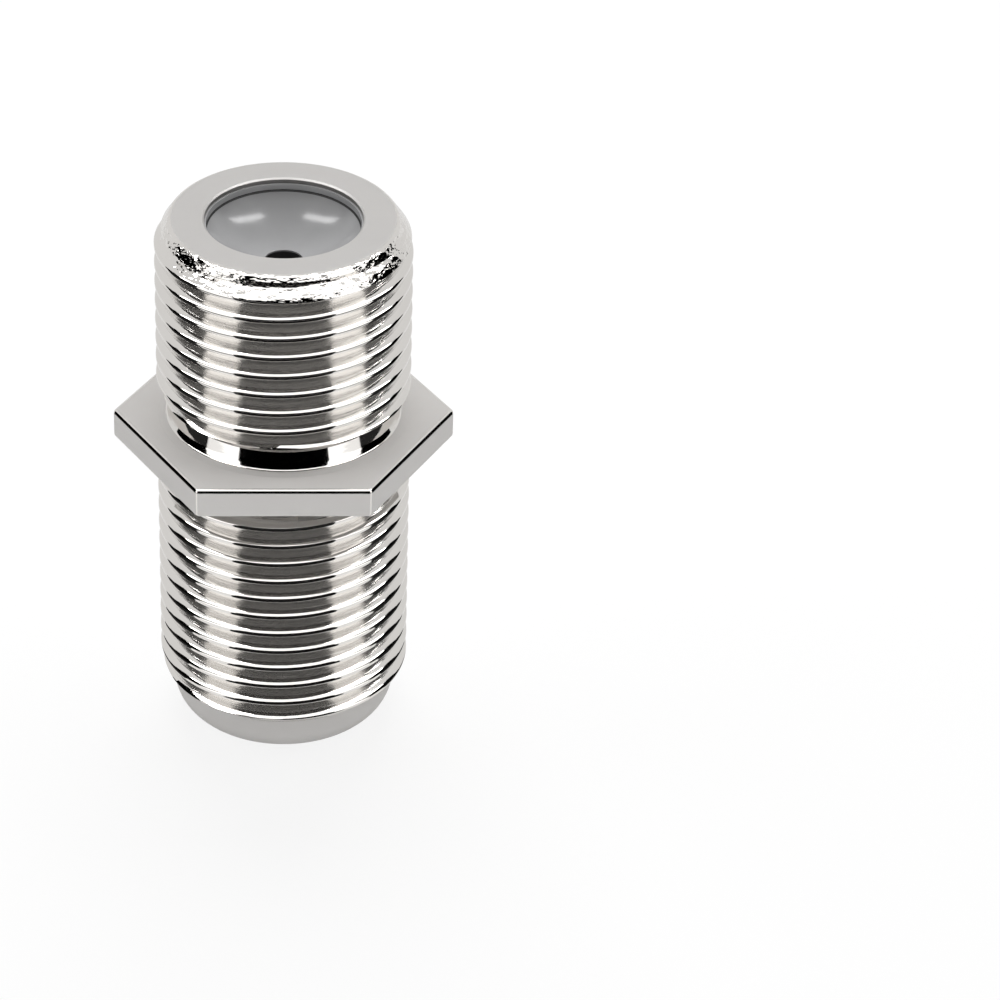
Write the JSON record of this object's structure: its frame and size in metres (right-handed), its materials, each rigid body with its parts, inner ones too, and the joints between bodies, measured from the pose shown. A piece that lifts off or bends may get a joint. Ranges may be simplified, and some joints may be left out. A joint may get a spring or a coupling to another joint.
{
  "type": "f connector coupler",
  "caption": "Threaded barrel with a hexagon flange and a socket in each end; joins two coaxial cables screwed on from both sides.",
  "frame": {"origin": "centre of the lower end, on the surface it stands on", "axes": "+Z along the barrel's axis from the rounded lower end to the chamfered upper end; two flats of the hexagon face +Y and -Y"},
  "size_m": [0.0128, 0.011, 0.0214],
  "materials": {
    "nickel_plated_brass": "polished",
    "grey_moulded_plastic": "gloss",
    "spring_bronze": "satin"
  },
  "bodies": {
    "root": {"barrel_shell": "nickel_plated_brass", "upper_insulator": "grey_moulded_plastic", "lower_insulator": "grey_moulded_plastic", "center_contact": "spring_bronze"}
  },
  "joints": []
}
